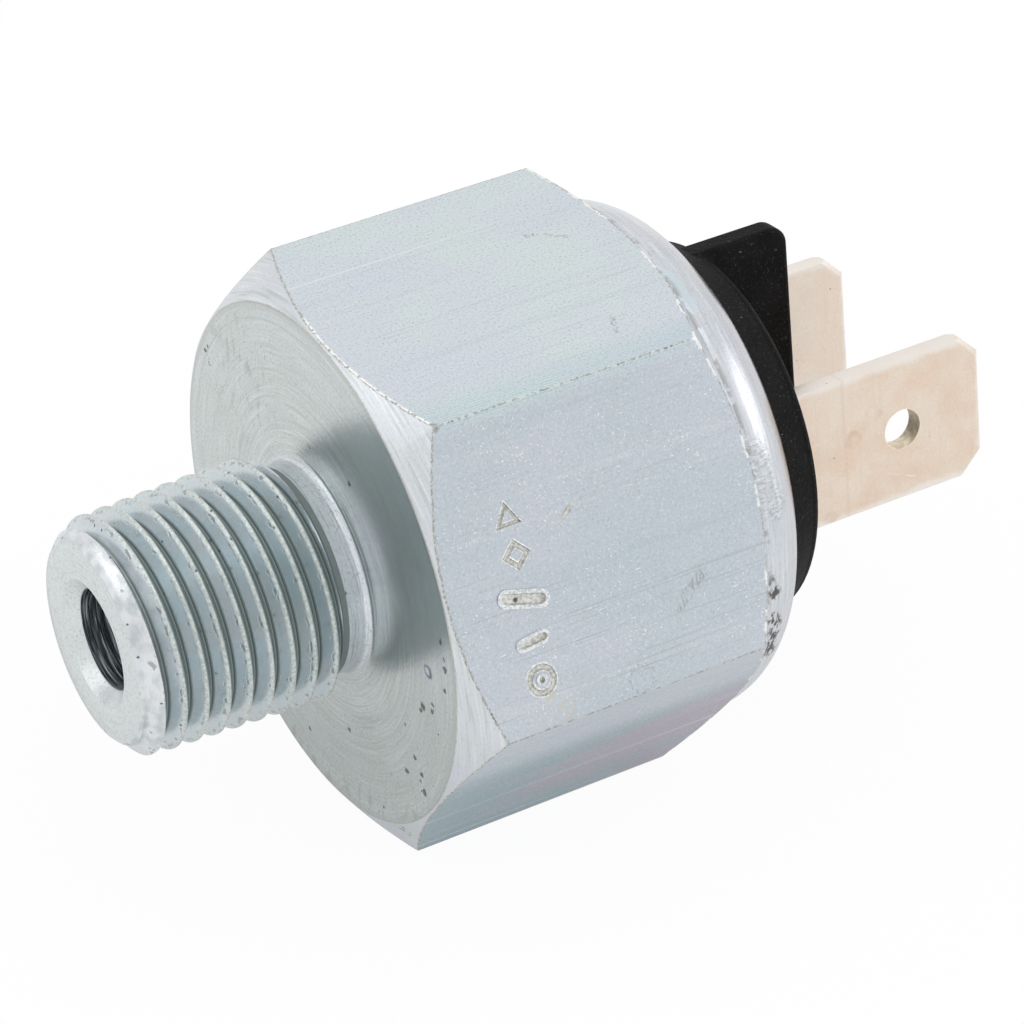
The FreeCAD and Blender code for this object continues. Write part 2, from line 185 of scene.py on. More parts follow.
helix_rows = int((NECK_START - TIP) / PITCH + 2) * ROWS_A_TURN
sections = []
for turn in turns:
    bore = filleted([(POCKET_FLOOR, POCKET_RADIUS, 0), (POCKET_FLOOR, BORE_RADIUS, 0),
                     (TIP + COUNTERSINK_DEPTH, BORE_RADIUS, 0.12), (TIP, COUNTERSINK_RADIUS, 0.08),
                     (TIP, TIP_FACE_MIDDLE, 0)])
    helix = [(TIP, TIP_FACE_RADIUS - TIP_ROUND), (TIP + TIP_ROUND * 0.3, TIP_FACE_RADIUS - TIP_ROUND * 0.3)]
    for row in range(helix_rows + 1):
        x = TIP + (row / ROWS_A_TURN - 1 + turn / (2 * math.pi)) * PITCH
        x = min(max(x, TIP + TIP_ROUND), NECK_START)
        helix.append((x, thread_radius(x, turn)))
    neck = [(-1.0, NECK_RADIUS)]
    neck += arc(-NECK_FILLET, NECK_RADIUS + NECK_FILLET, NECK_FILLET, 180, 90, 8)
    neck += [(0, 6), (0, 8), (0, 10)]
    reach = hexagon_radius(turn)
    front_edge = (reach - FACE_RADIUS) * CHAMFER_SLOPE
    rear_edge = BODY_LENGTH - (reach - COLLAR_RADIUS) * CHAMFER_SLOPE
    skin = filleted([(0, 10, 0), (0, FACE_RADIUS, FACE_EDGE_ROUND), (front_edge, reach, EDGE_ROUND),
                     (rear_edge, reach, REAR_EDGE_ROUND), (BODY_LENGTH + 0.002, COLLAR_RADIUS, 0)], 4)[1:-1]
    crimp = arc(BODY_LENGTH, CRIMP_CENTRE, CRIMP_RADIUS, 0, CRIMP_ANGLE - 2, 16)
    # The lip's squared end, its corners a little rounded.
    lip = [(16.592, 9.665), (16.57, 9.64), (15.83, 9.263), (15.80, 9.268)]
    inner = arc(BODY_LENGTH, CRIMP_CENTRE, CRIMP_RADIUS - CRIMP_WALL, CRIMP_ANGLE - 2, 0, 6)
    chamber = [(BASE_SEAT, BASE_RADIUS), (BASE_SEAT, CHAMBER_RADIUS), (CHAMBER_FLOOR, CHAMBER_RADIUS)]
    groove = [(CHAMBER_FLOOR, GROOVE_OUTER), (GROOVE_FLOOR, GROOVE_OUTER), (GROOVE_FLOOR, GROOVE_INNER),
              (CHAMBER_FLOOR, GROOVE_INNER)]
    pocket = [(CHAMBER_FLOOR, POCKET_RADIUS), (POCKET_FLOOR, POCKET_RADIUS)]
    sections.append(bore + helix + neck + skin + crimp + lip + inner + chamber + groove + pocket)

# The last row of each finish: 0 bored, 1 turned, 2 thread, 3 chamfer, 4 drawn, 5 crimp.
thread_row = len(bore) + 1
neck_row = len(bore) + len(helix)
skin_row = neck_row + len(neck)
crimp_row = skin_row + len(skin)
inside_row = crimp_row + len(crimp) + len(lip) - 2
last_rows = [(3, 0), (thread_row, 1), (neck_row, 2), (skin_row + 2, 1), (skin_row + 7, 3),
             (skin_row + 12, 4), (inside_row, 5), (len(sections[0]), 0)]
body = wrapped("plated_body", turns, sections, last_rows)


def on_flat(x, up, lift, tilt=0.0):
    """Where a stamp stands on the flat that faces the front and up: along the axis, then across the flat."""
    across = Vector((0, 0.5, math.sqrt(0.75)))
    outward = Vector((0, -math.sqrt(0.75), 0.5))
    place = Vector((x, 0, 0)) + up * across + (APOTHEM + lift) * outward
    lie = Matrix(((1, 0, 0), (0, across.y, outward.y), (0, across.z, outward.z))).to_4x4()
    return Matrix.Translation(place * MM) @ lie @ Matrix.Rotation(math.radians(tilt), 4, "Z")


def stamp_tools(name, lift, grow, deep):
    """One object with a tool for each stamped mark: triangle, diamond, two bars, and a ring with a dot."""
    tools = []
    for sides, x, up, radius, stroke, length, tilt in STAMPS:
        bpy.ops.object.select_all(action="DESELECT")
        if stroke:
            bpy.ops.mesh.primitive_torus_add(major_segments=sides, minor_segments=12,
                                             major_radius=radius * MM, minor_radius=(stroke + grow) * MM)
            flatness = deep / (stroke + grow)
        else:
            bpy.ops.mesh.primitive_cone_add(vertices=sides, radius1=(radius * 0.55 + grow) * MM,
                                            radius2=(radius + grow) * MM, depth=2 * deep * MM)
            flatness = 1.0
        tool = bpy.context.object
        for vertex in tool.data.vertices:
            vertex.co.x += math.copysign(length * MM, vertex.co.x) if length else 0
            vertex.co.z *= flatness
        tool.data.transform(on_flat(x, up, lift, tilt))
        tools.append(tool)
    for tool in tools:
        tool.select_set(True)
    bpy.ops.object.join()
    bpy.context.object.name = name
    return bpy.context.object


def combine(piece, tool, operation):
    """Join or cut the piece with a tool, and throw the tool away."""
    change = piece.modifiers.new(operation, "BOOLEAN")
    change.operation = operation
    change.solver = "EXACT"
    change.material_mode = "TRANSFER"
    change.object = tool
    bpy.ops.object.select_all(action="DESELECT")
    bpy.context.view_layer.objects.active = piece
    piece.select_set(True)
    bpy.ops.object.modifier_apply(modifier=operation)
    bpy.data.objects.remove(tool)


class Flow:
    """A value, colour or vector in a material's nodes. Plain arithmetic on it adds Math nodes."""

    def __init__(self, tree, socket=None):
        self.tree = tree
        self.socket = socket

    def node(self, kind, settings=None, inputs=None, output=0):
        """Add a node, set it, fill its sockets with numbers, colours or other flows, and return an output."""
        made = self.tree.nodes.new("ShaderNode" + kind)
        for name, value in (settings or {}).items():
            setattr(made, name, value)
        for name, value in (inputs or {}).items():
            if isinstance(value, Flow):
                self.tree.links.new(value.socket, made.inputs[name])
            else:
                made.inputs[name].default_value = value
        return Flow(self.tree, made.outputs[output])

    def math(self, operation, other=0.0):
        """Any operation of the Math node, by its name."""
        return self.node("Math", {"operation": operation}, {0: self, 1: other})

    def lower(self, other):
        """The smaller of two values."""
        return self.math("MINIMUM", other)

    def upper(self, other):
        """The larger of two values."""
        return self.math("MAXIMUM", other)

    def between(self, low, high):
        """Rise smoothly from 0 at low to 1 at high, or the other way where low is the larger."""
        ends = {"Value": self, "From Min": low, "From Max": high}
        return self.node("MapRange", {"interpolation_type": "SMOOTHSTEP"}, ends)

    def __add__(self, other):
        return self.math("ADD", other)

    def __sub__(self, other):
        return self.math("SUBTRACT", other)

    def __rsub__(self, other):
        return self.node("Math", {"operation": "SUBTRACT"}, {0: other, 1: self})

    def __mul__(self, other):
        return self.math("MULTIPLY", other)

    def __truediv__(self, other):
        return self.math("DIVIDE", other)

    def __pow__(self, other):
        return self.math("POWER", other)

    __radd__ = __add__
    __rmul__ = __mul__


def tone(red, green, blue):
    """Colour as it is seen on screen, from 0 to 255, for a shader."""
    return tuple(((c / 255 + 0.055) / 1.055) ** 2.4 for c in (red, green, blue)) + (1.0,)


def blend(first, second, share):
    """Mix two colours by a share that changes over the surface."""
    return share.node("Mix", {"data_type": "RGBA"}, {0: share, 6: first, 7: second}, 2)


def noise(place, scale, stretch=(1, 1, 1), detail=3.0, shift=0.0):
    """Cloudy pattern round 0.5, in patches of about 1/scale millimetres, drawn out where stretch is small."""
    laid = place.node("Mapping", inputs={"Vector": place, "Scale": [scale * s for s in stretch],
                                         "Location": (shift, shift * 1.7, shift * 0.6)})
    return place.node("TexNoise", inputs={"Vector": laid, "Scale": 1.0, "Detail": detail})


def dots(place, scale, size, share, shift=0.0):
    """Small round specks: the middles of that share of random cells."""
    laid = place.node("Mapping", inputs={"Vector": place, "Location": (shift, -shift, shift)})
    away = place.node("TexVoronoi", inputs={"Vector": laid, "Scale": scale}, output="Distance")
    cell = place.node("TexVoronoi", inputs={"Vector": laid, "Scale": scale}, output="Color")
    chosen = place.node("SeparateXYZ", inputs={"Vector": cell}, output="X").math("LESS_THAN", share)
    return chosen * away.between(size * scale, size * scale * 0.6)


def rough_edged(place, scale, amount):
    """The same places pushed about at random, so that the outline of a mark laid there is uneven."""
    push = place.node("TexNoise", inputs={"Vector": place, "Scale": scale, "Detail": 3.0}, output="Color")
    spread = {0: push, 1: (amount * 2,) * 3, 2: (-amount,) * 3}
    push = place.node("VectorMath", {"operation": "MULTIPLY_ADD"}, spread)
    return place.node("VectorMath", {"operation": "ADD"}, {0: place, 1: push})


def from_spot(place, x, y, z):
    """Distance from a point, in millimetres."""
    return place.node("VectorMath", {"operation": "DISTANCE"}, {0: place, 1: (x, y, z)}, "Value")


def from_line(place, start, end):
    """Distance from a straight line between two points."""
    start, end = Vector(start), Vector(end)
    run = end - start
    away = place.node("VectorMath", {"operation": "SUBTRACT"}, {0: place, 1: start})
    along = place.node("VectorMath", {"operation": "DOT_PRODUCT"},
                       {0: away, 1: run / run.length_squared}, "Value")
    along = along.lower(1.0).upper(0.0)
    beside = place.node("VectorMath", {"operation": "SCALE"}, {0: run, "Scale": along})
    return place.node("VectorMath", {"operation": "DISTANCE"}, {0: away, 1: beside}, "Value")


def spots(place, marks):
    """Round marks (x, y, z, size), each of them solid inside its size."""
    share = None
    for x, y, z, size in marks:
        one = from_spot(place, x, y, z).between(size, size * 0.6)
        share = share.upper(one) if share else one
    return share


def start_finish(name):
    """New material, and its surface's places in millimetres."""
    made = bpy.data.materials.get(name) or bpy.data.materials.new(name)
    made.use_nodes = True
    made.node_tree.nodes.clear()
    corner = Flow(made.node_tree).node("TexCoord", output="Object")
    return made, corner.node("VectorMath", {"operation": "SCALE"}, {0: corner, "Scale": 1000.0})


def end_finish(made, colour, roughness, height, depth, **constants):
    """Close a material: colour, roughness, relief with its depth in millimetres, and numbers by socket."""
    lift = height.node("Bump", inputs={"Height": height, "Distance": depth * MM, "Strength": 1.0})
    inputs = {"Base Color": colour, "Roughness": roughness, "Normal": lift}
    inputs.update({name.replace("_", " "): value for name, value in constants.items()})
    shader = lift.node("BsdfPrincipled", inputs=inputs)
    end = made.node_tree.nodes.new("ShaderNodeOutputMaterial")
    made.node_tree.links.new(shader.socket, end.inputs["Surface"])
    return made


def axis_places(place):
    """The three coordinates, and the distance from the axis."""
    x, y, z = [place.node("SeparateXYZ", inputs={"Vector": place}, output=k) for k in range(3)]
    return x, y, z, (y * y + z * z) ** 0.5


def flat_places(y, z):
    """Distance from the nearest corner of the hexagon, and from the axis square to the flat."""
    lean = math.cos(math.pi / 6)
    faces = [z.math("ABSOLUTE")]
    faces += [(z * 0.5 + y * side).math("ABSOLUTE") for side in (-lean, lean)]
    corner = faces[0].lower(faces[1]).lower(faces[2]) / lean
    return corner, faces[0].upper(faces[1]).upper(faces[2])


def drawn_zinc():
    """Flats as the bar was drawn: sandy bluish zinc with lines along the axis, its edges rubbed thin, and
    painted light.
    """
    made, place = start_finish("drawn_zinc")
    x, y, z, radius = axis_places(place)
    corner = flat_places(y, z)[0]
    front = (FACE_RADIUS + x / CHAMFER_SLOPE - radius) * 0.6
    rear = (COLLAR_RADIUS + (BODY_LENGTH - x) / CHAMFER_SLOPE - radius) * 0.6
    up = y * 0.5 + z * math.cos(math.pi / 6)
    top = z.between(10.7, 11.0)
    under = z.between(-2.0, -5.0)
    side = (1 - top) * (1 - under)

    # Plating in faint clouds over the lines of the drawing die: the top flat lighter and greener as painted
    # light, the flats below darker teal and lilac as painted shade.
    cloud = noise(place, 0.3, (0.6, 1, 1), 2.0).between(0.3, 0.68)
    colour = blend(tone(195, 205, 212), tone(202, 208, 216), cloud)
    colour = blend(colour, blend(tone(211, 221, 221), tone(210, 216, 224), cloud), top)
    tint = (noise(place, 0.5, (0.22, 1, 1), 3.0, 4.0) + (x - 9) * 0.02).between(0.36, 0.62)
    colour = blend(colour, blend(tone(162, 181, 187), tone(183, 177, 189), tint), under)
    streak = noise(place, 2.2, (0.018, 1, 1), 3.0, 5.0)
    colour = blend(colour, tone(178, 192, 200), streak.between(0.54, 0.74) * (0.2 + under * 0.45))
    colour = blend(colour, tone(222, 226, 228), streak.between(0.42, 0.3) * (0.16 + under * 0.3))

    # Fine ripples beside the top's front edge.
    near_edge = corner.between(2.0, 0.2) * top * y.between(2.0, -2.0)
    ripple = (corner * 48.0 + streak * 5.0).math("SINE").between(-0.4, 1.0) * near_edge
    colour = blend(colour, tone(184, 205, 211), ripple * 0.5 + near_edge * 0.3)

    # Sandy grain with painted glints as bright sparks, and dark flecks, both closer together in some places.
    grain = noise(place, 10.0, detail=4.0)
    colour = blend(colour, tone(152, 162, 170), grain.between(0.5, 0.76) * (0.32 + top * 0.2))
    colour = blend(colour, tone(232, 236, 238), grain.between(0.47, 0.28) * (0.34 + top * 0.08))
    crowd = noise(place, 0.35, detail=2.0, shift=6.0).between(0.42, 0.6)
    # Painted glints: near-white specks stand in for sparkling facets.
    spark = noise(place, 14.0, (0.5, 1, 1), 1.0, 3.0).between(0.68, 0.74)
    spark = spark.upper(noise(place, 14.0, (1, 0.5, 0.5), 1.0, 7.0).between(0.69, 0.75)) * (0.3 + crowd * 0.7)
    colour = blend(colour, tone(248, 250, 252), spark * (0.2 + side * 0.65))
    fleck = noise(place, 11.0, (0.8, 1, 1), 3.0, 9.0).between(0.28, 0.22) * (0.4 + crowd * 0.6)
    colour = blend(colour, tone(122, 130, 132), fleck * (0.35 + top * 0.3))

    # Long fine scratches, most of them low on the sides; two dark marks and a light line on top; a rubbed
    # patch, a faint ring and a yellowish stain on the stamped flat.
    lines = noise(place, 13.0, (0.01, 1, 1), 2.0, 2.0)
    length = noise(place, 0.45, (0.6, 1, 1), 2.0, 4.0).between(0.46, 0.6)
    low = up.between(-0.3, -1.2) * side
    scratch = lines.between(0.6, 0.68) * length.upper(low * 0.7) * (0.22 + low * 0.26)
    colour = blend(colour, tone(164, 172, 178), scratch)
    bent = rough_edged(place, 1.6, 0.35)
    long_dash = from_line(bent, (10.6, 2.4, 11.1), (12.2, 1.5, 11.1)).between(0.16, 0.06)
    long_dash = long_dash * grain.between(0.44, 0.54)
    cross = from_line(bent, (10.5, -4.6, 11.1), (10.8, -3.9, 11.1)).between(0.2, 0.08)
    cross = cross * grain.between(0.44, 0.5)
    light_line = (y - 3.7).math("ABSOLUTE").between(0.06, 0.02) * top * x.between(13.5, 3.0)
    colour = blend(colour, tone(140, 147, 148), long_dash.upper(cross) * fleck.upper(0.45))
    colour = blend(colour, tone(232, 238, 240), light_line * 0.5)
    hatch = from_line(place, (9.75, -11.38, 2.45), (11.05, -10.95, 3.3)).between(0.3, 0.16)
    hatch = hatch * noise(place, 6.0, (1.6, 0.5, 0.5), 3.0, 1.0).between(0.5, 0.6)
    colour = blend(colour, tone(166, 170, 170), hatch * 0.75)
    ring = (from_spot(bent, 7.5, -12.5, 0.55) - 0.55).math("ABSOLUTE").between(0.1, 0.03)
    colour = blend(colour, tone(166, 172, 178), ring * grain.between(0.44, 0.56) * 0.5)
    stain = from_line(bent, (3.35, -11.95, 1.35), (4.05, -12.5, 0.4)).between(0.42, 0.12)
    stain = stain * noise(place, 2.6, detail=3.0, shift=1.0).between(0.42, 0.56)
    colour = blend(colour, tone(212, 204, 166), stain * 0.5)

    # Edges rubbed thin all along, bare on the top's front edge and here and there at the rear, where they are
    # painted near white as a painted edge highlight, and dark in a few spots.
    ragged = noise(place, 7.0, detail=4.0, shift=6.0)
    patchy = noise(place, 0.9, detail=3.0, shift=8.0)
    edge = corner.lower(front).lower(rear)
    worn = (edge + ragged * 0.11).between(0.125, 0.07)
    rubbed = blend(tone(154, 152, 144), tone(204, 204, 200), ragged.between(0.4, 0.58))
    # Wear and painted highlight: the bare edge is painted near white.
    bare_and_edge_highlight = front.between(0.25, 0.12) * top * (y + patchy * 4).between(4.6, 3.2) * ragged.between(0.4, 0.47)
    bare_and_edge_highlight = bare_and_edge_highlight.upper(rear.between(0.25, 0.12) * patchy.between(0.5, 0.56) * 0.9)
    worn = (worn * 0.75).upper(bare_and_edge_highlight * (edge + ragged * 0.3).between(0.29, 0.22))
    colour = blend(colour, blend(rubbed, tone(250, 251, 250), bare_and_edge_highlight), worn)
    dark = (edge + ragged * 0.3).between(0.2, 0.16) * patchy.between(0.59, 0.65)
    dark = dark.upper(from_spot(place, 1.3, -6.4, 11.05).between(0.28, 0.12))
    colour = blend(colour, tone(112, 110, 104), dark * 0.6)

    height = grain * 0.7 + streak * 0.3 + ripple * 0.2
    height = height - fleck * 0.5 - scratch * 0.5 - hatch * 0.6 - worn * ragged
    roughness = 0.38 + grain * 0.14 - spark * 0.15 + worn * 0.1
    return end_finish(made, colour, roughness, height, 0.011, Metallic=0.92)


def turned_zinc():
    """Shoulder, neck and tip face, turned to fine rings: greyish plating with pits and dark specks."""
    made, place = start_finish("turned_zinc")
    x, y, z, radius = axis_places(place)

    # Rings of the turning tool, deepest near the neck, on plating that is paler on the neck and the tip.
    across = place.node("CombineXYZ", inputs={0: radius + x, 1: y * 0.03, 2: z * 0.03})
    ring = noise(across, 11.0, detail=3.0)
    near_neck = radius.between(8.2, 6.5) * radius.between(4.4, 5.0)
    cloud = noise(place, 0.35, detail=2.0).between(0.3, 0.7)
    tip = x.between(-9.0, -9.6)
    face = x.between(-0.1, -0.02)
    colour = blend(tone(196, 203, 200), tone(201, 206, 208), cloud)
    colour = blend(colour, tone(222, 228, 236), x.between(0, -0.2) * (1 - tip) * 0.8)
    colour = blend(colour, tone(216, 221, 222), tip)
    neck = x.between(0, -0.3) * (1 - tip)
    lined = 0.28 + near_neck * 0.2 + neck * 0.4
    colour = blend(colour, tone(224, 229, 228), ring.between(0.52, 0.66) * lined)
    colour = blend(colour, tone(162, 172, 174), ring.between(0.46, 0.32) * lined)

    # Grain, grey blotches above the neck and low on the shoulder, and a dull rim.
    grain = noise(place, 9.0, detail=4.0, shift=3.0)
    colour = blend(colour, tone(150, 158, 154), grain.between(0.5, 0.74) * 0.45)
    colour = blend(colour, tone(230, 234, 232), grain.between(0.46, 0.3) * 0.3)
    smutty = from_spot(place, 0, 6.6, 5.2).between(4.6, 1.0)
    smutty = smutty.upper(radius.between(9.0, 10.6) * z.between(-3.0, -7.0))
    blotch = noise(place, 2.4, (1, 1, 0.45), 5.0, 2.0).between(0.5, 0.72) * smutty * face
    colour = blend(colour, tone(150, 155, 150), blotch * 0.45)
    rim = radius.between(10.6, 10.93) * face
    colour = blend(colour, tone(182, 186, 180), rim * 0.5)

    # Dark pits, in crowds low on the shoulder and beside its far edge, specks of blue ink, and a tool's arc.
    bent = rough_edged(place, 4.0, 0.2)
    pit = spots(bent, PITS)
    crowd = from_spot(place, 0, -8.6, -4.6).between(2.0, 0.6)
    crowd = crowd.upper(from_spot(place, 0, -7.0, -7.4).between(3.0, 1.0) * 0.4)
    crowd = crowd.upper(from_spot(place, 0, 9.5, 4.3).between(0.9, 0.3))
    pit = pit.upper(dots(bent, 3.4, 0.09, 0.5, 2.0) * crowd * face)
    pit = pit.upper(dots(bent, 3.2, 0.045, 0.22, 4.0) * (0.35 + near_neck * 0.4))
    pit = pit.upper(dots(bent, 5.5, 0.028, 0.3, 6.0) * 0.6)
    colour = blend(colour, tone(62, 66, 58), pit * 0.85)
    inked = rough_edged(place, 2.2, 0.14)
    navy = spots(inked, [(0, -8.76, 1.12, 0.37)]) - spots(inked, [(0, -8.7, 1.12, 0.23)])
    navy = navy.upper(spots(bent, [(0, -9.6, 3.3, 0.16), (0, -9.9, 2.6, 0.12), (-1.0, -4.0, 1.9, 0.14)]))
    colour = blend(colour, tone(54, 60, 100), navy * 0.8)
    tool_arc = (radius - 10.32).math("ABSOLUTE").between(0.07, 0.01) * (y + z).between(-2.0, 6.0) * face
    colour = blend(colour, tone(168, 172, 168), tool_arc * 0.3)
    height = ring * (0.6 + near_neck * 0.5 + neck) + grain * 0.5 - pit * 1.5 - tool_arc * 0.5
    roughness = 0.19 + grain * 0.1 + blotch * 0.15 + tip * 0.12 - neck * 0.08
    return end_finish(made, colour, roughness, height, 0.008, Metallic=0.95)


def thread_zinc():
    """Thread: glossy greenish-grey flanks, crests rubbed pale and grainy with a painted highlight, roots
    darkened with dirt and painted shade, a scuffed chamfer.
    """
    made, place = start_finish("thread_zinc")
    x, y, z, radius = axis_places(place)

    # Colour by the depth below the crests: crests rubbed pale with a painted highlight, glossy flanks with
    # some grime, roots darker with dirt and painted shade.
    below = CREST_RADIUS + x * TAPER - radius
    cloud = noise(place, 0.7, detail=3.0).between(0.35, 0.65)
    colour = blend(tone(201, 212, 216), tone(206, 213, 216), cloud)
    grain = noise(place, 8.0, detail=4.0, shift=2.0)
    colour = blend(colour, tone(168, 182, 182), grain.between(0.5, 0.72) * 0.4)
    # Dirt and painted shade: the roots darkened.
    colour = blend(colour, tone(110, 122, 118), below.between(0.54, 0.66) * 0.75)
    # Crests rubbed pale, and brightened as a painted highlight.
    crest = (below + grain * 0.07).between(0.15, 0.07)
    colour = blend(colour, blend(tone(216, 221, 219), tone(188, 195, 191), grain.between(0.4, 0.62)), crest)
    grime = (below + grain * 0.2 - 0.25).math("ABSOLUTE").between(0.09, 0.02)
    grime = grime * noise(place, 2.4, detail=3.0, shift=5.0).between(0.54, 0.64)
    colour = blend(colour, tone(118, 124, 120), grime * 0.55)

    # Scuffs and dents round the tip's chamfer, and dark specks all over.
    scuffed = x.between(-9.0, -9.4)
    around = place.node("CombineXYZ", inputs={0: x * 2.0, 1: y, 2: z})
    scuff = noise(around, 1.3, detail=4.0, shift=7.0)
    patch = blend(tone(198, 204, 207), tone(226, 229, 232), scuff.between(0.34, 0.62))
    colour = blend(colour, patch, scuffed)
    dent = scuff.between(0.66, 0.73) * scuffed
    colour = blend(colour, tone(120, 122, 118), dent * 0.6)
    speck = dots(rough_edged(place, 3.0, 0.08), 2.2, 0.075, 0.22)
    colour = blend(colour, tone(66, 72, 76), speck * 0.8)
    height = grain * (0.3 + crest * 0.2 + scuffed * 0.5) - speck * 1.5 - grime - dent + scuff * scuffed * 1.2
    roughness = 0.2 + crest * 0.16 + grain * 0.06 + below.between(0.5, 0.66) * 0.3
    return end_finish(made, colour, roughness, height, 0.014, Metallic=0.95)


def chamfer_zinc():
    """Front chamfer: pale plating over the facing tool's fine arcs, painted lighter above, with a soiled line
    at the shoulder.
    """
    made, place = start_finish("chamfer_zinc")
    y, z, radius = axis_places(place)[1:]
    skin = flat_places(y, z)[1]
    upper = z.between(-4.0, 1.0)
    swept = place.node("CombineXYZ", inputs={0: radius + z * 0.1, 1: y * 0.035, 2: z * 0.035})
    line = noise(swept, 10.0, detail=4.0)
    cloud = noise(place, 0.5, detail=2.0, shift=3.0).between(0.3, 0.7)
    colour = blend(tone(205, 211, 212), tone(210, 213, 221), cloud)
    # Painted light: the upper part painted lighter, its arcs drawn stronger there as painted highlight and
    # shade.
    colour = blend(colour, tone(220, 224, 227), upper * 0.6)
    colour = blend(colour, tone(176, 182, 184), line.between(0.52, 0.68) * (0.05 + upper * 0.45))
    colour = blend(colour, tone(240, 242, 244), line.between(0.46, 0.3) * (0.05 + upper * 0.45))
    grain = noise(place, 9.0, detail=3.0, shift=6.0)
    colour = blend(colour, tone(172, 180, 184), grain.between(0.5, 0.74) * 0.3)
    edge = (radius + grain * 0.14).between(11.1, 11.04)
    colour = blend(colour, tone(150, 148, 136), edge * 0.6)
    rubbed = (APOTHEM - skin + grain * 0.1).between(0.11, 0.07) * 0.8
    colour = blend(colour, blend(tone(150, 146, 136), tone(212, 212, 206), grain.between(0.44, 0.58)), rubbed)

    # Brown smudges where the chamfer meets the shoulder.
    soil = rough_edged(place, 1.8, 0.4)
    smudge = spots(soil, [(0.6, -9.5, -6.7, 0.7), (0.4, -6.9, -9.0, 0.6), (0.5, -8.0, 7.6, 0.4)])
    smudge = smudge * noise(place, 4.0, detail=4.0, shift=5.0).between(0.48, 0.6)
    colour = blend(colour, tone(124, 120, 100), smudge * 0.8)
    height = line * (0.12 + upper * 0.8) + grain * 0.4
    return end_finish(made, colour, 0.3 + grain * 0.08, height, 0.01, Metallic=0.93)


def crimp_zinc():
    """Collar rolled over the base: smooth and bright, with drag marks round it, a scuffed patch, grime, and
    painted light and shade.
    """
    made, place = start_finish("crimp_zinc")
    x, y, z, radius = axis_places(place)
    around = place.node("CombineXYZ", inputs={0: x * 3.0 - radius * 3.0, 1: y * 0.2, 2: z * 0.2})
    drag = noise(around, 2.2, detail=4.0)
    cloud = noise(place, 0.5, detail=3.0, shift=1.0).between(0.35, 0.65)
    colour = blend(tone(206, 212, 217), tone(213, 215, 221), cloud)
    colour = blend(colour, tone(180, 186, 192), drag.between(0.52, 0.7) * 0.35)
    colour = blend(colour, tone(244, 244, 246), drag.between(0.46, 0.34) * 0.35)
    # Painted shade: greyer towards the lip, past the bend's highlight.
    colour = blend(colour, tone(198, 197, 203), x.between(15.3, 16.1) * 0.8)
    grain = noise(place, 8.0, detail=4.0, shift=4.0)
    colour = blend(colour, tone(160, 164, 168), grain.between(0.52, 0.74) * 0.35)

    # A pale bluish painted reflection of a facet high on the bend, a scuffed patch in front, dark smudges
    # below, and a broken seam where the bend leaves the chamfer.
    pale = rough_edged(place, 0.9, 0.5)
    painted_facet_reflection = from_line(pale, (14.5, -2.2, 10.8), (14.5, -3.9, 10.2)).between(0.45, 0.3)
    colour = blend(colour, tone(206, 222, 230), painted_facet_reflection * 0.6)
    scuffed = from_line(pale, (14.6, -8.9, 6.5), (14.95, -10.0, 4.5)).between(0.9, 0.4)
    hatch = noise(place, 14.0, (0.2, 1, 1), 4.0, 2.0)
    rough = scuffed * hatch.between(0.46, 0.62)
    colour = blend(colour, tone(164, 168, 172), rough * 0.5)
    colour = blend(colour, tone(248, 248, 246), scuffed * hatch.between(0.44, 0.32) * 0.6)
    smudge = from_line(pale, (14.55, -11.0, 1.5), (14.6, -11.0, 0.7)).between(0.3, 0.12)
    smudge = smudge.upper(from_line(pale, (14.7, -11.0, -0.6), (15.0, -10.6, -2.8)).between(0.5, 0.2))
    smudge = smudge * noise(place, 4.0, (1.6, 0.7, 0.7), 4.0, 5.0).between(0.44, 0.54)
    colour = blend(colour, tone(74, 72, 64), smudge * 0.9)
    seam = (COLLAR_RADIUS - radius).math("ABSOLUTE") + grain * 0.1
    seam = seam.between(0.12, 0.05) * noise(place, 1.5, detail=3.0).between(0.5, 0.6)
    colour = blend(colour, tone(150, 150, 146), seam * x.between(14.6, 14.3) * 0.7)
    height = drag * 0.5 + grain * 0.3 + rough * 0.6 - smudge
    roughness = 0.2 + grain * 0.08 + rough * 0.2 + smudge * 0.2
    return end_finish(made, colour, roughness, height, 0.007, Metallic=0.95)


def bored_zinc():
    """Bore and inner faces, where the plating is thin and grey over the drill's rings."""
    made, place = start_finish("bored_zinc")
    x, y, z, radius = axis_places(place)
    around = place.node("CombineXYZ", inputs={0: x + radius * 0.3, 1: y * 0.06, 2: z * 0.06})
    ring = noise(around, 9.0, detail=3.0)
    colour = blend(tone(92, 100, 106), tone(226, 232, 234), ring.between(0.42, 0.66))
    return end_finish(made, colour, 0.3 + ring * 0.1, ring, 0.04, Metallic=0.95)


def stamped_zinc(name, dark, light, roughness):
    """Stamped marks: uneven metal that the punch pushed down, or its burr beside them."""
    made, place = start_finish(name)
    patch = noise(place, 9.0, detail=5.0, shift=3.0)
    colour = blend(dark, light, patch.between(0.34, 0.64))
    blot = from_spot(place, 3.0, -10.13, 4.6).between(0.16, 0.09)
    colour = blend(colour, tone(70, 68, 64), blot * 0.9)
    return end_finish(made, colour, roughness + patch * 0.1, patch, 0.03, Metallic=0.85)


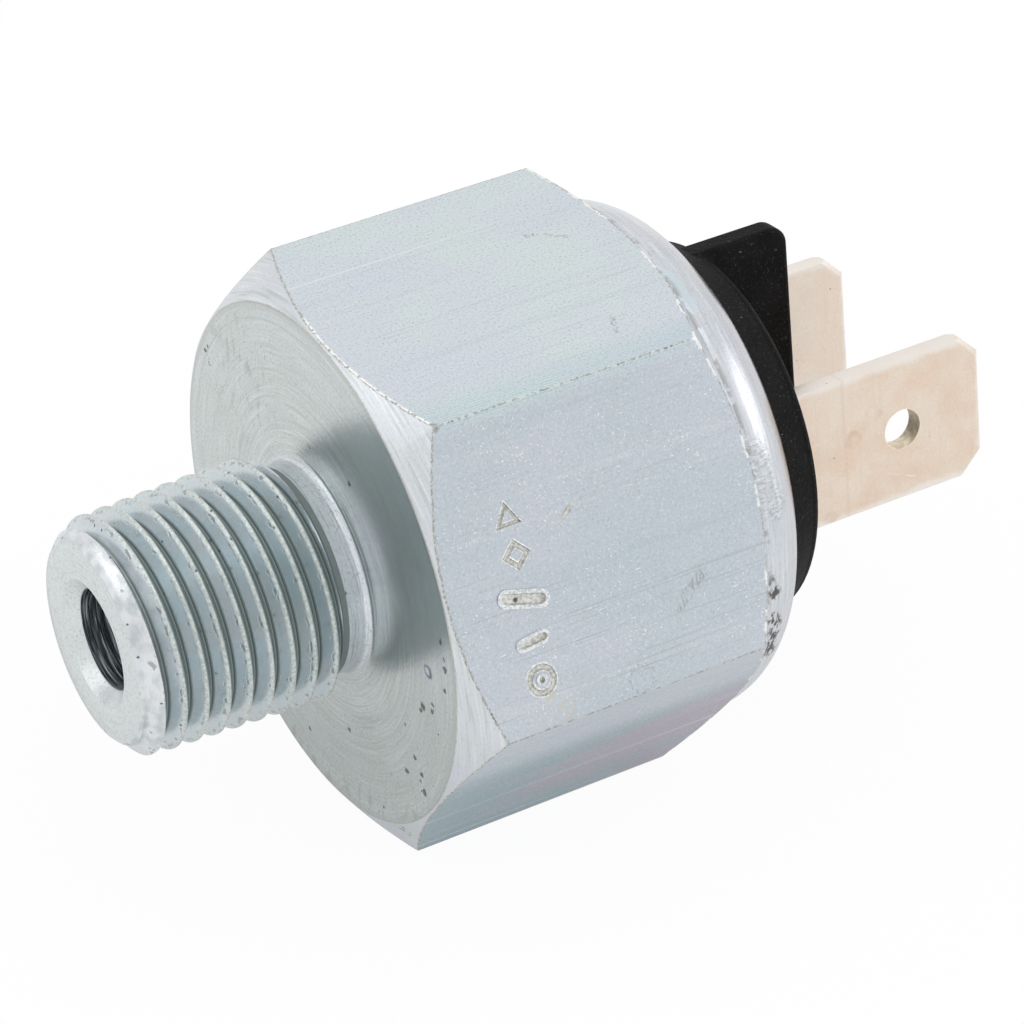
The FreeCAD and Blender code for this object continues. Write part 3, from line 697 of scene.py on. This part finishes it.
# Each pit's x, y, z and size.
PITS = [(0, -10.0, 2.19, 0.15), (0, -10.07, 1.11, 0.13), (0, -8.49, -0.93, 0.22), (0, -8.35, -1.25, 0.12),
        (0, -9.15, -0.3, 0.14), (0, -9.2, -0.62, 0.13), (0, -8.02, -3.97, 0.15), (0, -8.59, -4.47, 0.2),
        (0, -8.87, -5.21, 0.18), (0, -7.44, -5.2, 0.14), (0, -5.74, -8.59, 0.1), (0, -2.38, 5.9, 0.16),
        (0, 0.82, 5.47, 0.11), (0, 0.42, -9.22, 0.12), (0, -2.87, -6.68, 0.12), (0, 9.56, 4.33, 0.14),
        (0, 9.3, 4.7, 0.12), (0, 9.2, 3.9, 0.09), (0, -7.2, -2.9, 0.08), (0, -9.7, -1.4, 0.09)]
for finish in (bored_zinc, turned_zinc, thread_zinc, chamfer_zinc, drawn_zinc, crimp_zinc):
    body.data.materials.append(finish())

# Each mark's sides, place along and across the flat, radius, stroke, stretch and turn.
STAMPS = [
    (3, 3.39, 2.12, 0.5, 0.17, 0, 90),
    (4, 3.42, 0.62, 0.48, 0.16, 0, 0),
    (24, 3.30, -1.13, 0.30, 0, 0.75, -16),
    (24, 3.28, -2.83, 0.20, 0, 0.48, 6),
    (24, 3.27, -4.42, 0.52, 0.13, 0, 0),
    (16, 3.27, -4.42, 0.16, 0, 0, 0),
]
burr = stamp_tools("burr", lift=-0.03, grow=0.09, deep=0.075)
burr.data.materials.append(stamped_zinc("burr_zinc", tone(196, 201, 205), tone(240, 243, 243), 0.32))
combine(body, burr, "UNION")
strokes = stamp_tools("strokes", lift=0.06, grow=0.0, deep=0.16)
bpy.ops.object.select_all(action="DESELECT")
bpy.ops.mesh.primitive_uv_sphere_add(segments=14, ring_count=8, radius=MM)
nick = bpy.context.object
nick.data.transform(on_flat(5.97, 1.59, 0.04, 38) @ Matrix.Diagonal((0.42, 0.13, 0.15, 1)))
strokes.select_set(True)
bpy.context.view_layer.objects.active = strokes
bpy.ops.object.join()
strokes.data.materials.append(stamped_zinc("stamped_zinc", tone(192, 193, 188), tone(232, 232, 228), 0.42))
combine(body, strokes, "DIFFERENCE")

bpy.ops.object.shade_smooth_by_angle(angle=math.radians(28))
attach(body, "switch_body")
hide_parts("hex_body")


# Seal ring and diaphragm: the black ring lies in a groove round the pressure pocket, and the thin disc
# of brown cloth-backed rubber lies over both and keeps the fluid out of the switch.
def dress(finish, *names):
    """Give CAD nodes a finish, and leave their meshes as they are."""
    for name in names:
        for slot in nodes[name].material_slots:
            slot.material = finish


def plain_finish(name, first, second, scale, roughness, depth, stretch=(1, 1, 1), **constants):
    """Finish of a hidden piece: two tones in fine patches that also lift the surface, with small specks."""
    made, place = start_finish(name)
    patch = noise(place, scale, stretch, 4.0)
    colour = blend(first, second, patch.between(0.38, 0.62))
    speck = dots(place, 1.6, 0.05, 0.15)
    colour = blend(colour, tone(150, 146, 138), speck * 0.35)
    return end_finish(made, colour, roughness + patch * 0.12, patch - speck, depth, **constants)


dress(plain_finish("seal_rubber", tone(30, 30, 31), tone(44, 43, 43), scale=3.0, roughness=0.55, depth=0.02),
      "seal_ring", "base_gasket")


def cloth_backed_rubber():
    """Diaphragm: rubber that shows the weave of the cloth in it."""
    made, place = start_finish("diaphragm_rubber")
    y, z = axis_places(place)[1:3]
    weave = (y * 12.0).math("SINE") * (z * 12.0).math("SINE")
    patch = noise(place, 1.2, detail=3.0)
    colour = blend(tone(74, 48, 34), tone(98, 66, 46), weave.between(-0.8, 0.8))
    colour = blend(colour, tone(60, 42, 34), patch.between(0.5, 0.7))
    return end_finish(made, colour, 0.6 + patch * 0.15, weave + patch, 0.03)


dress(cloth_backed_rubber(), "diaphragm")

# Guide plate and push-on washer: blanked from bright steel strip, whose rolling lines still show. The
# plate clamps the diaphragm and guides the plunger, and the washer holds the contact disc on it.
dress(plain_finish("strip_steel", tone(188, 190, 192), tone(200, 202, 204), scale=5.0, roughness=0.26,
                   depth=0.012, stretch=(1, 1, 0.05), Metallic=1.0), "guide_plate", "disc_retainer")

# Plunger and contact disc: a pusher moulded in pale insulating plastic, and the disc it carries, stamped
# from brass sheet. They move together when the pressure rises.
dress(plain_finish("pale_plastic", tone(226, 219, 198), tone(238, 233, 216), scale=0.8, roughness=0.42,
                   depth=0.012), "plunger")
dress(plain_finish("disc_brass", tone(206, 172, 104), tone(224, 192, 124), scale=4.0, roughness=0.24,
                   depth=0.01, stretch=(1, 0.08, 1), Metallic=1.0), "contact_disc")

# Return spring: wound from spring wire, cut off square, and seated in the base's pocket.
WIRE_RADIUS = 0.25
COIL_RADIUS = 2.75
COIL_START = 9.27
COIL_HEIGHT = 3.96
COIL_TURNS = 4
STEPS_A_COIL = 32
bpy.ops.object.select_all(action="DESELECT")
bpy.ops.mesh.primitive_circle_add(vertices=12, radius=WIRE_RADIUS * MM, rotation=(math.pi / 2, 0, 0),
                                  location=(COIL_START * MM, 0, -COIL_RADIUS * MM))
spring = bpy.context.object
spring.name = spring.data.name = "coil_spring"
bpy.ops.object.transform_apply(location=True, rotation=True, scale=True)
winding = spring.modifiers.new("winding", "SCREW")
winding.axis = "X"
winding.angle = COIL_TURNS * 2 * math.pi
winding.screw_offset = COIL_HEIGHT * MM
winding.steps = winding.render_steps = COIL_TURNS * STEPS_A_COIL
bpy.ops.object.modifier_apply(modifier="winding")
bpy.ops.object.mode_set(mode="EDIT")
bpy.ops.mesh.select_all(action="SELECT")
bpy.ops.mesh.fill_holes(sides=0)
bpy.ops.mesh.normals_make_consistent(inside=False)
bpy.ops.object.mode_set(mode="OBJECT")
bpy.ops.object.shade_smooth_by_angle(angle=math.radians(40))
spring.data.materials.append(plain_finish("drawn_wire", tone(150, 153, 158), tone(190, 192, 196), scale=3.0,
                                          roughness=0.24, depth=0.01, Metallic=1.0))
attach(spring, "switch_body")
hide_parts("return_spring")
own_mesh(spring)


# Base: one black moulding with its flange, nose and the fin between the blades, pressed in on a
# rubber gasket and held by the crimped collar. Its skin is finely spark-eroded, and rubbed at the rim.
def black_moulding():
    """Black plastic: a fine leathery skin with pale grains and specks of dust, rubbed round the rim."""
    made, place = start_finish("black_moulding")
    radius = axis_places(place)[3]
    leather = place.node("TexVoronoi", {"feature": "SMOOTH_F1"}, {"Vector": place, "Scale": 6.0}, "Distance")
    fine = noise(place, 9.0, detail=3.0)
    cloud = noise(place, 0.6, detail=3.0, shift=2.0).between(0.4, 0.65)
    colour = blend(tone(14, 13, 13), tone(22, 21, 21), cloud)
    colour = blend(colour, tone(70, 69, 70), fine.between(0.58, 0.72) * 0.55)
    dust = dots(place, 2.3, 0.03, 0.06).upper(noise(place, 7.0, (0.5, 1, 1), 3.0, 5.0).between(0.72, 0.76))
    colour = blend(colour, tone(150, 148, 144), dust * 0.75)
    rubbed = noise(place, 3.0, (0.4, 1, 1), 4.0, 8.0).between(0.56, 0.68) * radius.between(9.1, 9.3)
    colour = blend(colour, tone(64, 63, 63), rubbed * 0.3)
    height = leather * 0.8 + fine * 0.6 + dust
    return end_finish(made, colour, 0.52 + fine * 0.14, height, 0.03, Specular_IOR_Level=0.09)


dress(black_moulding(), "terminal_base")

# Blades: 0.8 mm brass strip, blanked with cut corners, a latch hole and a coined tip, then tinned. Each
# is riveted to its contact below and stands in a slot of the base.
BLADE_TURN = math.radians(-13.6)
HALF_WIDTH = 3.15
HOLE_X = 24.8
HOLE_RADIUS = 0.88
BLADE_END = 28.8
CORNER_CUT = 0.85
COINED_LINE = 21.94
BLADE_SOFTNESS = 0.13
CREASE = math.radians(32)


def tinned_brass():
    """Warm tin over brass: whitish and cloudy, with painted light on one blade and along the edges, stained,
    cream where the hole is cut.
    """
    made, place = start_finish("tinned_brass")
    x, y, z = axis_places(place)[:3]
    across = z * math.cos(BLADE_TURN) - y * math.sin(BLADE_TURN)
    cloud = noise(place, 0.55, detail=4.0).between(0.34, 0.66)
    colour = blend(tone(231, 210, 191), tone(234, 221, 206), cloud)
    # Painted light: the blade on the +Y side is painted lighter than the other.
    colour = blend(colour, tone(240, 232, 222), y.between(0.0, 1.0) * 0.4)
    brush = noise(place, 6.0, (1, 0.05, 0.05), 3.0, 3.0)
    colour = blend(colour, tone(214, 198, 182), brush.between(0.54, 0.72) * 0.14)
    grain = noise(place, 9.0, detail=4.0, shift=1.0)
    colour = blend(colour, tone(208, 190, 172), grain.between(0.52, 0.74) * 0.22)
    colour = blend(colour, tone(246, 238, 230), grain.between(0.45, 0.3) * 0.25)

    # Painted highlight: paler towards the sides, the end and the cut corners.
    inside = (HALF_WIDTH - across.math("ABSOLUTE")).lower(BLADE_END - x)
    inside = inside.lower((BLADE_END - x + HALF_WIDTH - across.math("ABSOLUTE") - CORNER_CUT) * 0.7071)
    patchy = noise(place, 1.4, detail=4.0, shift=5.0)
    pale = (inside + patchy * 0.5).between(0.62, 0.3)
    colour = blend(colour, tone(243, 239, 234), pale * 0.7)

    # Brownish stains, the line where the coined tip begins, a scratch, specks, and the hole's sheared wall.
    marks = [(22.4, -5.1, 1.5, 0.5), (21.0, -5.7, -1.6, 0.5), (23.4, -5.0, 2.4, 0.5)]
    stain = spots(rough_edged(place, 1.6, 0.25), marks)
    colour = blend(colour, tone(214, 184, 160), stain * patchy.between(0.36, 0.7) * 0.6)
    coined = (x - COINED_LINE).math("ABSOLUTE").between(0.12, 0.02)
    colour = blend(colour, tone(212, 190, 170), coined * 0.2)
    scratch = from_line(place, (22.2, -5.4, 0.2), (25.3, -5.75, -1.05)).between(0.04, 0.01)
    scratch = scratch * patchy.between(0.42, 0.5)
    colour = blend(colour, tone(250, 247, 243), scratch * 0.7)
    speck = dots(place, 1.5, 0.05, 0.2, 2.0)
    colour = blend(colour, tone(128, 106, 92), speck * 0.6)
    hole = ((x - HOLE_X) ** 2.0 + across ** 2.0) ** 0.5
    wall = (hole - HOLE_RADIUS).between(0.05, 0.0)
    shear = blend(tone(252, 245, 228), tone(230, 216, 190), noise(place, 4.0, detail=3.0).between(0.4, 0.6))
    colour = blend(colour, shear, wall * 0.85)
    height = brush * 0.2 + grain * 0.3 + patchy * 0.4 - scratch * 0.3 - coined * 0.2
    return end_finish(made, colour, 0.4 + grain * 0.12 + wall * 0.1, height, 0.01, Metallic=0.88)


tin = tinned_brass()
for name, node in (("front_blade", "terminal_front"), ("rear_blade", "terminal_rear")):
    bpy.ops.object.select_all(action="DESELECT")
    blade = bpy.data.objects.new(name, nodes[node].data.copy())
    bpy.context.scene.collection.objects.link(blade)
    bpy.context.view_layer.objects.active = blade
    blade.select_set(True)
    bpy.ops.mesh.customdata_custom_splitnormals_clear()
    bpy.ops.object.mode_set(mode="EDIT")
    bpy.ops.mesh.select_all(action="SELECT")
    bpy.ops.mesh.remove_doubles(threshold=0.001 * MM)
    bpy.ops.mesh.dissolve_limited(angle_limit=math.radians(1))
    bpy.ops.object.mode_set(mode="OBJECT")
    rounding = blade.modifiers.new("rounding", "BEVEL")
    rounding.width = BLADE_SOFTNESS * MM
    rounding.segments = 4
    rounding.limit_method = "ANGLE"
    rounding.angle_limit = CREASE
    bpy.ops.object.modifier_apply(modifier="rounding")
    bpy.ops.object.shade_smooth_by_angle(angle=CREASE)
    blade.data.materials.clear()
    blade.data.materials.append(tin)
    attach(blade, "switch_body")
    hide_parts(node)

# Contacts: rivets with a domed silver face, headed through the blades' feet. The disc bridges them when
# the pressure rises.
dress(plain_finish("rivet_silver", tone(214, 213, 208), tone(230, 229, 226), scale=3.0, roughness=0.2,
                   depth=0.01, Metallic=1.0), "contact_front", "contact_rear")

# The switch lies on a white table, in soft light from all round, before a long lens. The table and the
# sky look plain white to the camera, and the table keeps a faint shadow.
TABLE_SIZE = 3
TABLE_TOP = -APOTHEM * MM
bpy.ops.object.select_all(action="DESELECT")
bpy.ops.mesh.primitive_plane_add(size=TABLE_SIZE, location=(0, 0, TABLE_TOP))
table = bpy.context.object
table.name = "table"
made = bpy.data.materials.new("table_white")
made.use_nodes = True
made.node_tree.nodes.clear()
start = Flow(made.node_tree)
seen = start.node("LightPath", output="Is Camera Ray")
mirrored = start.node("LightPath", output="Is Glossy Ray")
glow = start.node("Emission", inputs={"Color": (1, 1, 1, 1), "Strength": 1.0})
matt = start.node("BsdfDiffuse", inputs={"Color": (0.95, 0.95, 0.95, 1)})
share = (seen * 0.94).upper(mirrored * 0.3)
surface = start.node("MixShader", inputs={0: share, 1: matt, 2: glow})
end = made.node_tree.nodes.new("ShaderNodeOutputMaterial")
made.node_tree.links.new(surface.socket, end.inputs["Surface"])
table.data.materials.append(made)

world = bpy.data.worlds.new("studio")
bpy.context.scene.world = world
world.use_nodes = True
world.node_tree.nodes.clear()
start = Flow(world.node_tree)
direction = start.node("TexCoord", output="Generated")
height = start.node("SeparateXYZ", inputs={"Vector": direction}, output="Z")


def toward(azimuth, elevation, width):
    """Share of a soft lamp that far round from the +X axis and above the table."""
    a, e = math.radians(azimuth), math.radians(elevation)
    lamp = (math.cos(a) * math.cos(e), math.sin(a) * math.cos(e), math.sin(e))
    facing = start.node("VectorMath", {"operation": "DOT_PRODUCT"}, {0: direction, 1: lamp}, "Value")
    return facing.between(math.cos(math.radians(width)), math.cos(math.radians(width * 0.35)))


# An even level, a little brighter from above, and three soft patches for the metal to mirror: the first
# in the top flat, the second in the front chamfer and the thread, the third in the crimp.
level = 0.86 + height.between(-0.1, 0.5) * 0.08
level = level + toward(azimuth=60, elevation=42, width=34) * 0.06
level = level + toward(azimuth=150, elevation=22, width=26) * 0.5
level = level + toward(azimuth=-18, elevation=20, width=20) * 0.9
seen = start.node("LightPath", output="Is Camera Ray")
level = level + (1 - level) * seen
sky = start.node("Background", inputs={"Color": (1, 1, 1, 1), "Strength": level})
end = world.node_tree.nodes.new("ShaderNodeOutputWorld")
world.node_tree.links.new(sky.socket, end.inputs["Surface"])


LAMP_DISTANCE = 0.5


def soft_lamp(name, azimuth, elevation, size, power):
    """Square lamp that faces the switch."""
    lamp = bpy.data.objects.new(name, bpy.data.lights.new(name, "AREA"))
    bpy.context.scene.collection.objects.link(lamp)
    lamp.data.size = size
    lamp.data.energy = power
    a, e = math.radians(azimuth), math.radians(elevation)
    away = Vector((math.cos(a) * math.cos(e), math.sin(a) * math.cos(e), math.sin(e)))
    turn = away.to_track_quat("Z", "Y").to_matrix().to_4x4()
    lamp.matrix_world = Matrix.Translation(away * LAMP_DISTANCE) @ turn


soft_lamp("lamp_above", azimuth=-30, elevation=72, size=0.3, power=0.15)

CAMERA_PLACE = (-0.06785, -0.11939, 0.11705)
CAMERA_HEADING = -32.8143
CAMERA_DIP = 39.6939
CAMERA_ROLL = 2.9229
camera = bpy.data.objects.new("camera", bpy.data.cameras.new("camera"))
bpy.context.scene.collection.objects.link(camera)
bpy.context.scene.camera = camera
camera.data.sensor_width = 36
camera.data.lens = 158.134
camera.data.clip_start = 0.01
camera.data.clip_end = 20
heading = Matrix.Rotation(math.radians(CAMERA_HEADING), 4, "Z")
tilt = Matrix.Rotation(math.radians(90 - CAMERA_DIP), 4, "X")
roll = Matrix.Rotation(math.radians(CAMERA_ROLL), 4, "Z")
camera.matrix_world = Matrix.Translation(CAMERA_PLACE) @ heading @ tilt @ roll
bpy.context.scene.view_settings.view_transform = "Standard"
